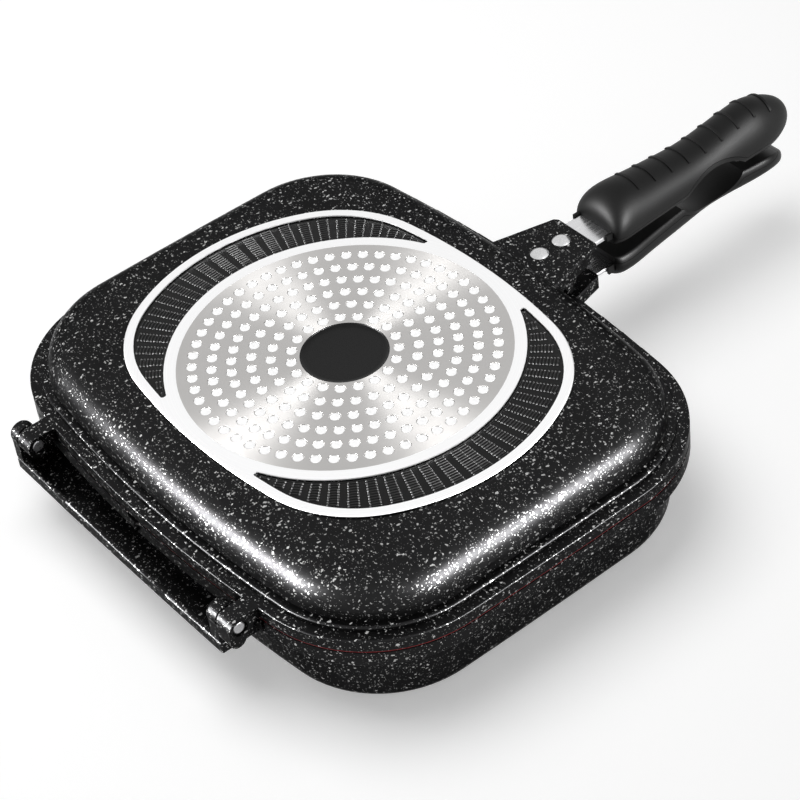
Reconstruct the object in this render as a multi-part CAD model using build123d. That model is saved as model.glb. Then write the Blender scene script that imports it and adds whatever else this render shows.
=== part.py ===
"""Double sided flip pan, closed. Millimetres, +Z up.

The origin is the centre of the lower base's flat face. +X runs towards the handles and the hinge
lies along Y at -X. Two cast half pans meet at a silicone gasket and turn on two steel pins. Each half
carries a steel strap riveted into a cast lug, and a moulded grip with a screwed inner cover and a magnet.
"""

from build123d import *
from math import atan2, cos, hypot, pi, radians, sin, sqrt, tan
import os

# ---- plan of the pan body ------------------------------------------------------------------------
BODY_HALF_LENGTH = 129.24  # centre to the rim edge, towards the handle and towards the hinge
BODY_HALF_WIDTH = 160.0  # centre to the rim edge along the hinge
SIDE_BOW_RADIUS = 815.0  # bow of the hinge side and the handle side
END_BOW_RADIUS = 3900.0  # bow of the two short ends
CORNER_RADIUS = 70.6

# ---- section of the two half pans ----------------------------------------------------------------
WALL = 3.5
BASE_THICKNESS = 5.0  # from the base face to the cooking surface
WALL_DRAFT = 6.0  # degrees
PAD_HEIGHT = 1.5  # raised base pad above the pan's own flat
LOWER_HEIGHT = 48.0  # base face to the lower rim
LOWER_SKIRT = 8.8  # height of the lower rim band
LOWER_WALL_INSET = 7.5  # rim edge to the wall under the rim band
LOWER_BASE_RADIUS = 10.5
LOWER_COOK_RADIUS = 8.0
UPPER_HEIGHT = 31.6  # upper rim face to the upper base face
UPPER_SKIRT = 6.8  # thickness of the upper flange
FLANGE_LAND = 6.2  # flat top of the upper flange, rim edge to the step
STEP_HEIGHT = 2.4
UPPER_WALL_INSET = 10.5
UPPER_BASE_RADIUS = 18.0
UPPER_COOK_RADIUS = 14.5
RIM_EDGE_ROUND = 0.8
STEP_ROUND = 1.3

# ---- seam and gasket -----------------------------------------------------------------------------
SEAM_CLEARANCE = 0.3  # gasket lip to the lower rim
LIP_THICKNESS = 0.8
LIP_INSET = 0.35
LIP_WIDTH = 5.4
ROOT_INSET = 2.2
ROOT_WIDTH = 2.4
ROOT_HEIGHT = 2.8
ROOT_CLEARANCE = 0.1

# ---- base pad, induction disc and the two crescent recesses --------------------------------------
PAD_SIDE_MARGIN = 36.3  # rim edge to the pad on the hinge side and the handle side
PAD_END_MARGIN = 40.6  # rim edge to the pad at the two short ends
PAD_SIDE_BOW = 357.0
PAD_END_EXTRA = 19.7  # the pad's short ends are bowed wider than the machined ring by this much
PAD_CORNER_RADIUS = 67.4
PAD_EDGE_ROUND = 0.5
BAND_WIDTH = 5.0  # bright machined band round the pad
CRESCENT_DEPTH = 1.5
CRESCENT_TIP_TRIM = 9.7  # cut off each sharp tip, along Y
CRESCENT_TIP_ROUND = 1.2
RING_TO_PAD_EDGE = 1.64  # machined ring to the pad's edge on the hinge side
DISC_THICKNESS = 0.6
RING_WIDTH = 6.2  # machined ring round the steel disc
CENTRE_RADIUS = 22.7
CENTRE_DEPTH = 1.2
FIRST_HOLE_ROW = 4.54  # centre recess edge to the first row of holes
HOLE_ROW_PITCH = 9.97
HOLE_EDGE_MARGIN = 5.0  # least distance from the last row to the disc's edge
HOLE_PITCH = 8.85  # aim for the spacing along a row
HOLE_SIZE = 4.7

# ---- hinge ---------------------------------------------------------------------------------------
HINGE_REACH = 6.26  # rim edge to the pin axis
HINGE_OFFSET = 3.4  # pan centre to the hinge's middle, along Y
PIN_ABOVE_RIM = 0.4  # upper rim face to the pin axis
PIN_RADIUS = 3.2
PIN_RUNNING = 0.05  # radial clearance in the ears
PIN_SEAT = 0.02  # radial clearance in the knuckles
PIN_IN_KNUCKLE = 6.0
PIN_RECESS = 0.8  # pin end below the ear's face
PIN_CHAMFER = 0.4
EAR_RADIUS = 6.3
EAR_WIDTH = 10.5
EAR_SPREAD = 86.6  # hinge middle to an ear's centre
EAR_ROOT_LENGTH = 9.0
EAR_HEEL = 1.5  # the arm's underside leaves the flange this far outside the rim
EAR_BORE_RADIUS = 4.3  # counterbore round the pin's end
EAR_BORE_DEPTH = 1.6
TAIL_RADIUS = 4.4
TAIL_OUT = 2.0
TAIL_DOWN = 6.6
KNUCKLE_GAP = 1.0
RIGHT_KNUCKLE_WIDTH = 8.5
LEFT_KNUCKLE_WIDTH = 7.5
KNUCKLE_END_ROUND = 2.5
KNUCKLE_FOOT_INSET = 0.8  # the foot stands back from the boss and the trough by this much
KNUCKLE_FOOT_DROP = 2.0  # pin axis to the foot's top
SWING_CLEARANCE = 0.5  # round the turning ear tail
TROUGH_CLEARANCE = 2.5  # turning ears and flange to the trough's top
TROUGH_BOW = 0.7  # the outer face's middle stands out by this much
TROUGH_WALL = 2.2
TROUGH_DEPTH = 3.9
TROUGH_FLOOR = 2.6
TROUGH_EDGE_ROUND = 1.4
TROUGH_END_ROUND = 1.2
VENT_Y = 10.0
VENT_WIDTH = 10.0
VENT_DEPTH = 2.5
VENT_CORNER = 1.5
SPOUT_LENGTH = 2.8
SPOUT_THICKNESS = 2.5
SPOUT_TIP_SETBACK = 0.5  # the notch's near end to the spout's tip
RELIEF_WIDTH = 2.4
RELIEF_DEPTH = 1.8
RELIEF_OFFSET = 1.6  # right ear's outer face to the relief slot's centre

# ---- handle lugs, straps and rivets --------------------------------------------------------------
LUG_REACH = 26.16  # rim edge to the lug's end
LUG_THICKNESS = 8.0
LUG_END_HALF_WIDTH = 16.5
LUG_FLARE = 0.25  # half width gained per millimetre towards the pan
LUG_CORNER = 2.0
LUG_EDGE = 0.8
UPPER_LUG_RISE = 2.4  # top of the flange step to the lug's underside
LOWER_LUG_DROP = 0.5  # lower rim down to the lug's top
TONGUE_REACH = 9.3  # rim edge to the end of the tongue under the upper lug
TONGUE_HALF_WIDTH = 18.0
TONGUE_CORNER = 5.0
STRAP_WIDTH = 24.0
STRAP_THICKNESS = 2.5
STRAP_EDGE = 0.5
STRAP_FREE_LENGTH = 12.6
STRAP_TO_ARCH = 4.3  # strap's end in the grip to the finger arch
STRAP_FIT = 0.05
UPPER_STRAP_DEPTH = 32.4  # length inside the upper lug
LOWER_STRAP_DEPTH = 24.0
UPPER_RIVET_SETBACK = 11.5  # lug end to the outer rivet
UPPER_RIVET_PITCH = 15.2
LOWER_RIVET_SETBACK = 6.6
LOWER_RIVET_PITCH = 12.4
RIVET_RADIUS = 2.5
RIVET_HEAD_RADIUS = 5.0
RIVET_HEAD_HEIGHT = 2.2
RIVET_SINK = 1.6  # depth of the countersunk tail
RIVET_TAIL_RADIUS = 4.0

# ---- grips, distances along a grip counted from its pan end --------------------------------------
UPPER_GRIP_DROP = 1.0  # lug underside down to the upper grip's inner face
GRIP_GAP_NEAR = 9.0  # between the grips at the pan end
GRIP_GAP_TIP = 6.3  # between the two inner faces, carried on to the tip
UPPER_GRIP_LENGTH = 140.6
LOWER_GRIP_LENGTH = 134.8
UPPER_LIFT = 4.75  # the tip bends away from the other grip by this much
UPPER_LIFT_LENGTH = 22.3  # length of the bent tip
LOWER_LIFT = 10.7
LOWER_LIFT_LENGTH = 20.3
SIDE_RISE = 6.0  # inner face to the widest level
FLAT_SHARE = 0.84  # flat part of the inner face, share of the local half width
SECTIONS_FROM_PAN = (0, 2, 6, 14, 26)
SECTIONS_FROM_TIP = (38, 27, 18, 10, 4.5, 1.5, 0.3)
MIDDLE_SECTIONS = 5  # evenly spaced between the two groups
COVER_THICKNESS = 3.5
ARCH_COVER = 2.2  # cover thickness along the finger arch
PARTING_GAP = 0.25
ARCH_TO_TIP = 59.5  # finger arch's middle to the shorter grip's tip
ARCH_LENGTH = 46.0
UPPER_ARCH_RISE = 9.7
LOWER_ARCH_RISE = 9.0
RIB_FIRST = 24.0
RIB_PITCH = 12.15
RIB_COUNT = 9
RIB_WIDTH = 1.4
RIB_HEIGHT = 0.7
RIB_ROOT = 1.0  # depth of a rib's foot in the grip
RIB_HALF_SPAN = 9.5
TAB_LENGTH = 4.0
TAB_ROOT = 4.0
TAB_THICKNESS = 1.5
TAB_HEIGHT = 5.0
NEAR_SCREW_AT = 30.0
FAR_SCREW_TO_TIP = 30.3
SCREW_RADIUS = 2.0
SCREW_HEAD_RADIUS = 3.6
SCREW_LENGTH = 12.0
SCREW_FIT = 0.05
MAGNET_TO_TIP = 21.3
MAGNET_RADIUS = 4.0
MAGNET_THICKNESS = 2.5
MAGNET_SINK = 0.5  # magnet below the inner face
MAGNET_FIT = 0.05
STRAP_HOLE_PLAY = 0.8  # radial play of the near screw in the strap's hole

# ---- levels and places that follow from the sizes above ------------------------------------------
LOWER_RIM_Z = LOWER_HEIGHT
LOWER_SKIRT_Z = LOWER_RIM_Z - LOWER_SKIRT
LIP_Z = LOWER_RIM_Z + SEAM_CLEARANCE
UPPER_RIM_Z = LIP_Z + LIP_THICKNESS
FLANGE_Z = UPPER_RIM_Z + UPPER_SKIRT
STEP_Z = FLANGE_Z + STEP_HEIGHT
TOP_Z = UPPER_RIM_Z + UPPER_HEIGHT
PIN_X = -(BODY_HALF_LENGTH + HINGE_REACH)
PIN_Z = UPPER_RIM_Z + PIN_ABOVE_RIM
TROUGH_TOP_Z = PIN_Z - max(EAR_RADIUS, FLANGE_Z - PIN_Z) - TROUGH_CLEARANCE
TROUGH_FLOOR_Z = TROUGH_TOP_Z - TROUGH_DEPTH
TROUGH_BOTTOM_Z = TROUGH_FLOOR_Z - TROUGH_FLOOR
LUG_END_X = BODY_HALF_LENGTH + LUG_REACH
UPPER_LUG_Z = STEP_Z + UPPER_LUG_RISE
LOWER_LUG_Z = LOWER_RIM_Z - LOWER_LUG_DROP - LUG_THICKNESS
GRIP_X = LUG_END_X + STRAP_FREE_LENGTH
UPPER_INNER_Z = UPPER_LUG_Z - UPPER_GRIP_DROP
LOWER_RIVETING = (LOWER_STRAP_DEPTH, LOWER_RIVET_SETBACK, LOWER_RIVET_PITCH)
UPPER_RIVETING = (UPPER_STRAP_DEPTH, UPPER_RIVET_SETBACK, UPPER_RIVET_PITCH)
SHORTER_GRIP = min(UPPER_GRIP_LENGTH, LOWER_GRIP_LENGTH)
ARCH_AT = SHORTER_GRIP - ARCH_TO_TIP
FAR_SCREW_AT = SHORTER_GRIP - FAR_SCREW_TO_TIP
MAGNET_AT = SHORTER_GRIP - MAGNET_TO_TIP
STRAP_END_X = GRIP_X + ARCH_AT - ARCH_LENGTH / 2 - STRAP_TO_ARCH
RING_RADIUS = BODY_HALF_LENGTH - PAD_SIDE_MARGIN - RING_TO_PAD_EDGE
DISC_RADIUS = RING_RADIUS - RING_WIDTH
PAD_END_BOW = RING_RADIUS + PAD_END_EXTRA
HOLE_ROWS = 1 + int((DISC_RADIUS - HOLE_EDGE_MARGIN - CENTRE_RADIUS - FIRST_HOLE_ROW) / HOLE_ROW_PITCH)
BODY_CORE_X = -(BODY_HALF_LENGTH - CORNER_RADIUS / 2)  # inside the body, behind the hinge side's wall
RIGHT_EAR = HINGE_OFFSET - EAR_SPREAD
LEFT_EAR = HINGE_OFFSET + EAR_SPREAD
RIGHT_EAR_Y = (RIGHT_EAR - EAR_WIDTH / 2, RIGHT_EAR + EAR_WIDTH / 2)
LEFT_EAR_Y = (LEFT_EAR - EAR_WIDTH / 2, LEFT_EAR + EAR_WIDTH / 2)
RIGHT_KNUCKLE_Y = (RIGHT_EAR_Y[1] + KNUCKLE_GAP, RIGHT_EAR_Y[1] + KNUCKLE_GAP + RIGHT_KNUCKLE_WIDTH)
LEFT_KNUCKLE_Y = (LEFT_EAR_Y[1] + KNUCKLE_GAP, LEFT_EAR_Y[1] + KNUCKLE_GAP + LEFT_KNUCKLE_WIDTH)


# ---- helpers -------------------------------------------------------------------------------------
def bowed_face(half_x, half_y, side_r, end_r, corner_r):
    """Flat face with four bowed sides and four corner arcs, all tangent to each other."""
    side_c = half_x - side_r
    end_c = half_y - end_r
    to_side = side_r - corner_r
    to_end = end_r - corner_r
    apart = hypot(side_c, end_c)
    along = (to_side**2 - to_end**2 + apart**2) / (2 * apart)
    off = sqrt(to_side**2 - along**2)
    cx = side_c - along * side_c / apart - off * end_c / apart
    cy = along * end_c / apart - off * side_c / apart
    side_a = atan2(cy, cx - side_c)
    end_a = atan2(cy - end_c, cx)
    mid_a = (side_a + end_a) / 2
    px, py = side_c + side_r * cos(side_a), side_r * sin(side_a)
    qx, qy = end_r * cos(end_a), end_c + end_r * sin(end_a)
    mx, my = cx + corner_r * cos(mid_a), cy + corner_r * sin(mid_a)
    arcs = [
        ThreePointArc((px, -py), (half_x, 0), (px, py)),
        ThreePointArc((px, py), (mx, my), (qx, qy)),
        ThreePointArc((qx, qy), (0, half_y), (-qx, qy)),
        ThreePointArc((-qx, qy), (-mx, my), (-px, py)),
        ThreePointArc((-px, py), (-half_x, 0), (-px, -py)),
        ThreePointArc((-px, -py), (-mx, -my), (-qx, -qy)),
        ThreePointArc((-qx, -qy), (0, -half_y), (qx, -qy)),
        ThreePointArc((qx, -qy), (mx, -my), (px, -py)),
    ]
    return Face(Wire(arcs))


def body_face(inset):
    """The pan's outline, moved in from the rim edge by inset."""
    return bowed_face(
        BODY_HALF_LENGTH - inset,
        BODY_HALF_WIDTH - inset,
        SIDE_BOW_RADIUS - inset,
        END_BOW_RADIUS - inset,
        CORNER_RADIUS - inset,
    )


def pad_face(inset):
    """The base pad's outline, moved in from its edge by inset."""
    return bowed_face(
        BODY_HALF_LENGTH - PAD_SIDE_MARGIN - inset,
        BODY_HALF_WIDTH - PAD_END_MARGIN - inset,
        PAD_SIDE_BOW - inset,
        PAD_END_BOW - inset,
        PAD_CORNER_RADIUS - inset,
    )


def body_block(inset, low, high, draft=0.0):
    """The outline raised from low to high, drawn in with height by the draft angle."""
    return Pos(0, 0, low) * extrude(body_face(inset), amount=high - low, taper=draft)


def edges_at(shape, z):
    """Edges that lie flat at one height."""
    return shape.edges().filter_by_position(Axis.Z, z - 0.01, z + 0.01)


def block(x, y, z):
    """Box from three (low, high) pairs."""
    centre = Pos((x[0] + x[1]) / 2, (y[0] + y[1]) / 2, (z[0] + z[1]) / 2)
    return centre * Box(x[1] - x[0], y[1] - y[0], z[1] - z[0])


def rim_at(y):
    """Distance of the rim edge from the centre plane, on the hinge side, at a place along the hinge."""
    return BODY_HALF_LENGTH - y * y / (2 * SIDE_BOW_RADIUS)


def rod(radius, y, x=PIN_X, z=PIN_Z):
    """Cylinder along Y between two y values."""
    return Pos(x, (y[0] + y[1]) / 2, z) * Rot(90, 0, 0) * Cylinder(radius, y[1] - y[0])


def side_plate(outline, y):
    """Outline in the XZ plane as (x, z) points, made into a plate between two y values."""
    face = Face(Wire.make_polygon([(px, y[0], pz) for px, pz in outline]))
    return extrude(face, amount=y[1] - y[0], dir=(0, 1, 0))


def mirror_up(shape):
    """The same shape upside down, its base face moved from z = 0 to the top of the upper half."""
    return Pos(0, 0, TOP_Z) * mirror(shape, about=Plane.XY)


# ---- base pad and disc, shared by both halves, drawn at the lower base with the face at z = 0 ----
def base_pad():
    """Raised pad with the machined band round it."""
    pad = extrude(pad_face(0), amount=PAD_HEIGHT + WALL)
    return chamfer(edges_at(pad, 0), PAD_EDGE_ROUND)


def crescents():
    """The two recesses between the machined ring and the band, open towards the base face."""
    field = pad_face(BAND_WIDTH) - Circle(RING_RADIUS)
    tip_y = min(abs(v.Y) for v in field.vertices()) + CRESCENT_TIP_TRIM
    field -= Rectangle(4 * RING_RADIUS, 2 * tip_y)
    tips = field.vertices().filter_by_position(Axis.Y, -tip_y - 0.1, tip_y + 0.1)
    return extrude(fillet(tips, CRESCENT_TIP_ROUND), amount=CRESCENT_DEPTH)


def base_recesses():
    """All that is cut into the pad: crescents, disc seat and centre recess."""
    seat = Cylinder(DISC_RADIUS, DISC_THICKNESS, align=(Align.CENTER, Align.CENTER, Align.MIN))
    centre = Cylinder(CENTRE_RADIUS, CENTRE_DEPTH, align=(Align.CENTER, Align.CENTER, Align.MIN))
    return crescents() + seat + centre


def hole_wire(radius, angle):
    """One square hole of the disc, turned to face the centre."""
    half = HOLE_SIZE / 2
    corners = [(radius - half, -half), (radius + half, -half), (radius + half, half), (radius - half, half)]
    turned = [(cx * cos(angle) - cy * sin(angle), cx * sin(angle) + cy * cos(angle)) for cx, cy in corners]
    return Wire.make_polygon(turned)


def induction_disc():
    """Perforated steel ring pressed into the base, with its rows of holes."""
    holes = [Wire(Edge.make_circle(CENTRE_RADIUS))]
    for row in range(HOLE_ROWS):
        radius = CENTRE_RADIUS + FIRST_HOLE_ROW + HOLE_ROW_PITCH * row
        count = round(2 * pi * radius / HOLE_PITCH)
        holes += [hole_wire(radius, 2 * pi * (k + 0.37 * row) / count) for k in range(count)]
    return extrude(Face(Wire(Edge.make_circle(DISC_RADIUS)), holes), amount=DISC_THICKNESS, dir=(0, 0, 1))


# ---- lower half pan ------------------------------------------------------------------------------
def lower_outside():
    """Rim band, drafted wall and rounded base of the lower half."""
    wall = mirror(body_block(LOWER_WALL_INSET, 0, LOWER_SKIRT_Z - PAD_HEIGHT, WALL_DRAFT), about=Plane.XY)
    wall = Pos(0, 0, LOWER_SKIRT_Z) * wall
    wall = fillet(edges_at(wall, PAD_HEIGHT), LOWER_BASE_RADIUS)
    band = body_block(0, LOWER_SKIRT_Z, LOWER_RIM_Z)
    band = fillet(edges_at(band, LOWER_SKIRT_Z), RIM_EDGE_ROUND)
    return wall + band + base_pad()


def lower_cavity():
    """Cooking space of the lower half, with its rounded floor edge."""
    depth = LOWER_RIM_Z - BASE_THICKNESS
    mouth_inset = LOWER_WALL_INSET + WALL - LOWER_SKIRT * tan(radians(WALL_DRAFT))
    space = Pos(0, 0, LOWER_RIM_Z) * mirror(body_block(mouth_inset, 0, depth, WALL_DRAFT), about=Plane.XY)
    return fillet(edges_at(space, BASE_THICKNESS), LOWER_COOK_RADIUS)


def trough_face(margin, y):
    """Plan of the drip trough, its bowed outer face moved in by margin."""
    outer = PIN_X - EAR_RADIUS + margin
    middle = (y[0] + y[1]) / 2
    ends = outer + TROUGH_BOW
    arc = ThreePointArc((ends, y[0]), (outer, middle), (ends, y[1]))
    sides = Polyline((ends, y[1]), (BODY_CORE_X, y[1]), (BODY_CORE_X, y[0]), (ends, y[0]))
    return Face(Wire([arc, *sides.edges()]))


def trough():
    """Drip trough on the hinge side, between the two knuckles."""
    height = TROUGH_TOP_Z - TROUGH_BOTTOM_Z
    bar = extrude(trough_face(0, (RIGHT_KNUCKLE_Y[0], LEFT_KNUCKLE_Y[1])), amount=height)
    corners = bar.edges().filter_by(Axis.Z).sort_by(Axis.X)[:2]
    bar = Pos(0, 0, TROUGH_BOTTOM_Z) * fillet(corners, TROUGH_END_ROUND)
    outer_low = edges_at(bar, TROUGH_BOTTOM_Z).sort_by(Axis.X)[0]
    bar = fillet(outer_low, TROUGH_EDGE_ROUND)
    pocket = trough_face(TROUGH_WALL, (RIGHT_KNUCKLE_Y[1], LEFT_KNUCKLE_Y[0]))
    return bar - Pos(0, 0, TROUGH_FLOOR_Z) * extrude(pocket, amount=2 * TROUGH_DEPTH)


def knuckle(y, end):
    """Lower hinge boss on the trough, its free end rounded at y = end."""
    boss = rod(EAR_RADIUS, y)
    boss = fillet(boss.edges().filter_by_position(Axis.Y, end - 0.01, end + 0.01), KNUCKLE_END_ROUND)
    foot_x = (PIN_X - EAR_RADIUS + KNUCKLE_FOOT_INSET, BODY_CORE_X)
    foot_y = (y[0] + KNUCKLE_FOOT_INSET, y[1] - KNUCKLE_FOOT_INSET)
    foot_z = (TROUGH_BOTTOM_Z + KNUCKLE_FOOT_INSET, PIN_Z - KNUCKLE_FOOT_DROP)
    return boss + block(foot_x, foot_y, foot_z)


def vent_cut():
    """Steam notch through the lower rim above the trough."""
    x = (-(BODY_HALF_LENGTH + 1), -(BODY_HALF_LENGTH - LOWER_WALL_INSET - 2 * WALL))
    y = (VENT_Y - VENT_WIDTH / 2, VENT_Y + VENT_WIDTH / 2)
    notch = block(x, y, (LOWER_RIM_Z - VENT_DEPTH, LOWER_RIM_Z + 1))
    return fillet(edges_at(notch, LOWER_RIM_Z - VENT_DEPTH).filter_by(Axis.X), VENT_CORNER)


def spout():
    """Small pointed lip under the steam notch."""
    base = -(BODY_HALF_LENGTH - WALL)
    tip = -(BODY_HALF_LENGTH + SPOUT_LENGTH)
    half = VENT_WIDTH / 2
    tip_y = VENT_Y - half + SPOUT_TIP_SETBACK
    plan = Face(Wire.make_polygon([(base, VENT_Y - half), (base, VENT_Y + half), (tip, tip_y)]))
    lip = extrude(plan, amount=SPOUT_THICKNESS, dir=(0, 0, 1))
    return Pos(0, 0, LOWER_RIM_Z - VENT_DEPTH - SPOUT_THICKNESS) * lip


def relief_cut():
    """Upright slot in the lower rim band beside the right ear."""
    y = RIGHT_EAR_Y[0] - RELIEF_OFFSET
    x = (-(rim_at(y) + RELIEF_WIDTH), -(rim_at(y) - RELIEF_DEPTH))
    return block(x, (y - RELIEF_WIDTH / 2, y + RELIEF_WIDTH / 2), (LOWER_SKIRT_Z - 1, LOWER_RIM_Z + 1))


def swing_cut():
    """Room in the lower rim for the right ear's tail to turn."""
    reach = hypot(TAIL_OUT, TAIL_DOWN) + TAIL_RADIUS + SWING_CLEARANCE
    return rod(reach, (RIGHT_EAR_Y[0] - SWING_CLEARANCE, RIGHT_EAR_Y[1] + SWING_CLEARANCE))


def lug(z, strap_depth, rivet_setback, rivet_pitch):
    """Cast handle lug with its strap slot and two rivet holes."""
    root = BODY_HALF_LENGTH - UPPER_WALL_INSET - WALL
    root_half = LUG_END_HALF_WIDTH + LUG_FLARE * (LUG_END_X - root)
    end = LUG_END_HALF_WIDTH
    corners = [(root, -root_half), (LUG_END_X, -end), (LUG_END_X, end), (root, root_half)]
    plan = Face(Wire.make_polygon(corners))
    plate = Pos(0, 0, z) * extrude(plan, amount=LUG_THICKNESS, dir=(0, 0, 1))
    plate = chamfer(plate.edges().filter_by(Axis.Z).sort_by(Axis.X)[-2:], LUG_CORNER)
    rims = edges_at(plate, z + LUG_THICKNESS) + edges_at(plate, z)
    plate = chamfer(rims.filter_by(lambda e: e.center().X > root + 1), LUG_EDGE)
    plate -= strap_blank(z, strap_depth, STRAP_FIT)
    for x in rivet_places(rivet_setback, rivet_pitch):
        plate -= Pos(x, 0, z + LUG_THICKNESS / 2) * Cylinder(RIVET_RADIUS + STRAP_FIT, 2 * LUG_THICKNESS)
    return plate


def lower_pan_shell():
    """The whole lower casting."""
    body = lower_outside() + trough()
    body += knuckle(RIGHT_KNUCKLE_Y, RIGHT_KNUCKLE_Y[1]) + knuckle(LEFT_KNUCKLE_Y, LEFT_KNUCKLE_Y[1])
    body += lug(LOWER_LUG_Z, *LOWER_RIVETING)
    body += spout()
    body -= lower_cavity()
    body -= base_recesses()
    body -= vent_cut()
    body -= relief_cut()
    body -= swing_cut()
    for y in (RIGHT_KNUCKLE_Y, LEFT_KNUCKLE_Y):
        body -= rod(PIN_RADIUS + PIN_SEAT, (y[0] - 1, y[0] + PIN_IN_KNUCKLE))
    body -= rivet_sinks(LOWER_LUG_Z + LUG_THICKNESS, LOWER_RIVET_SETBACK, LOWER_RIVET_PITCH)
    return body


# ---- upper half pan ------------------------------------------------------------------------------
def upper_outside():
    """Flange, step, drafted wall and rounded base of the upper half."""
    wall = body_block(UPPER_WALL_INSET, STEP_Z, TOP_Z - PAD_HEIGHT, WALL_DRAFT)
    wall = fillet(edges_at(wall, TOP_Z - PAD_HEIGHT), UPPER_BASE_RADIUS)
    step = body_block(FLANGE_LAND, FLANGE_Z, STEP_Z)
    step = fillet(edges_at(step, STEP_Z), STEP_ROUND)
    flange = body_block(0, UPPER_RIM_Z, FLANGE_Z)
    flange = fillet(edges_at(flange, FLANGE_Z), RIM_EDGE_ROUND)
    return wall + step + flange + mirror_up(base_pad())


def upper_cavity():
    """Cooking space of the upper half."""
    mouth_inset = UPPER_WALL_INSET + WALL - (STEP_Z - UPPER_RIM_Z) * tan(radians(WALL_DRAFT))
    space = body_block(mouth_inset, UPPER_RIM_Z, TOP_Z - BASE_THICKNESS, WALL_DRAFT)
    return fillet(edges_at(space, TOP_Z - BASE_THICKNESS), UPPER_COOK_RADIUS)


def gasket_groove():
    """Groove in the upper rim for the gasket's root."""
    top = UPPER_RIM_Z + ROOT_HEIGHT
    outer = body_block(ROOT_INSET - ROOT_CLEARANCE, UPPER_RIM_Z, top)
    return outer - body_block(ROOT_INSET + ROOT_WIDTH + ROOT_CLEARANCE, UPPER_RIM_Z, top)


def ear(y):
    """Upper hinge ear with its arm, running level with the flange's top."""
    rim = rim_at((y[0] + y[1]) / 2)
    root = (-(rim - EAR_ROOT_LENGTH), UPPER_RIM_Z)
    heel = (-(rim + EAR_HEEL), UPPER_RIM_Z)
    reach = hypot(heel[0] - PIN_X, heel[1] - PIN_Z)
    lean = atan2(heel[1] - PIN_Z, heel[0] - PIN_X) - acos_of(EAR_RADIUS / reach)
    foot = (PIN_X + EAR_RADIUS * cos(lean), PIN_Z + EAR_RADIUS * sin(lean))
    top = PIN_Z + EAR_RADIUS
    arm = side_plate([(PIN_X, top), (root[0], top), root, heel, foot, (PIN_X, PIN_Z)], y)
    return rod(EAR_RADIUS, y) + arm


def acos_of(value):
    """Angle whose cosine is value."""
    return atan2(sqrt(1 - value * value), value)


def ear_tail(y):
    """Rounded tail below the right ear."""
    x = PIN_X - TAIL_OUT
    z = PIN_Z - TAIL_DOWN
    apart = hypot(TAIL_OUT, TAIL_DOWN)
    turn = acos_of((EAR_RADIUS - TAIL_RADIUS) / apart)
    down = atan2(-TAIL_DOWN, -TAIL_OUT)
    sides = (down - turn, down + turn)
    tangents = [(PIN_X + EAR_RADIUS * cos(a), PIN_Z + EAR_RADIUS * sin(a)) for a in sides]
    ends = [(x + TAIL_RADIUS * cos(a), z + TAIL_RADIUS * sin(a)) for a in sides]
    web = side_plate([tangents[0], ends[0], ends[1], tangents[1]], y)
    return rod(TAIL_RADIUS, y, x, z) + web


def tongue():
    """Flange tongue under the upper lug."""
    end = BODY_HALF_LENGTH + TONGUE_REACH
    root = BODY_HALF_LENGTH - FLANGE_LAND
    plate = block((root, end), (-TONGUE_HALF_WIDTH, TONGUE_HALF_WIDTH), (UPPER_RIM_Z, FLANGE_Z))
    plate = fillet(plate.edges().filter_by(Axis.Z).sort_by(Axis.X)[-2:], TONGUE_CORNER)
    return fillet(edges_at(plate, FLANGE_Z).filter_by(lambda e: e.center().X > root + 1), RIM_EDGE_ROUND)


def upper_pan_shell():
    """The whole upper casting."""
    body = upper_outside() + ear(RIGHT_EAR_Y) + ear_tail(RIGHT_EAR_Y) + ear(LEFT_EAR_Y)
    body += lug(UPPER_LUG_Z, *UPPER_RIVETING)
    body += tongue()
    body -= upper_cavity()
    body -= mirror_up(base_recesses())
    body -= gasket_groove()
    for y in (RIGHT_EAR_Y, LEFT_EAR_Y):
        body -= rod(PIN_RADIUS + PIN_RUNNING, (y[0] - 1, y[1] + 1))
        body -= rod(EAR_BORE_RADIUS, (y[0] - 1, y[0] + EAR_BORE_DEPTH))
    return body


def silicone_gasket():
    """Gasket ring: a thin lip under the upper rim and a root in its groove, open at the steam notch."""
    lip = body_block(LIP_INSET, LIP_Z, UPPER_RIM_Z) - body_block(LIP_INSET + LIP_WIDTH, LIP_Z, UPPER_RIM_Z)
    root = body_block(ROOT_INSET, UPPER_RIM_Z, UPPER_RIM_Z + ROOT_HEIGHT)
    root -= body_block(ROOT_INSET + ROOT_WIDTH, UPPER_RIM_Z, UPPER_RIM_Z + ROOT_HEIGHT)
    x = (-(BODY_HALF_LENGTH + 1), -(BODY_HALF_LENGTH - LIP_INSET - LIP_WIDTH - 1))
    gap = block(x, (VENT_Y - VENT_WIDTH / 2, VENT_Y + VENT_WIDTH / 2), (LIP_Z - 1, UPPER_RIM_Z))
    return lip + root - gap


# ---- hinge pins ----------------------------------------------------------------------------------
def hinge_pin(ear_y, knuckle_y):
    """Steel pin, fixed in its knuckle, its end a little below the ear's face."""
    end = ear_y[0] + PIN_RECESS
    pin = rod(PIN_RADIUS, (end, knuckle_y[0] + PIN_IN_KNUCKLE))
    return chamfer(pin.edges().filter_by_position(Axis.Y, end - 0.01, end + 0.01), PIN_CHAMFER)


# ---- straps and rivets ---------------------------------------------------------------------------
def strap_blank(lug_z, depth, grow):
    """Flat strap centred in a lug's thickness, grown by a clearance to make its own slot."""
    middle = lug_z + LUG_THICKNESS / 2
    x = (LUG_END_X - depth - grow, STRAP_END_X + grow)
    half = STRAP_WIDTH / 2 + grow
    thick = STRAP_THICKNESS / 2 + grow
    return block(x, (-half, half), (middle - thick, middle + thick))


def rivet_places(setback, pitch):
    """The two rivet positions along the lug."""
    return (LUG_END_X - setback - pitch, LUG_END_X - setback)


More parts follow.
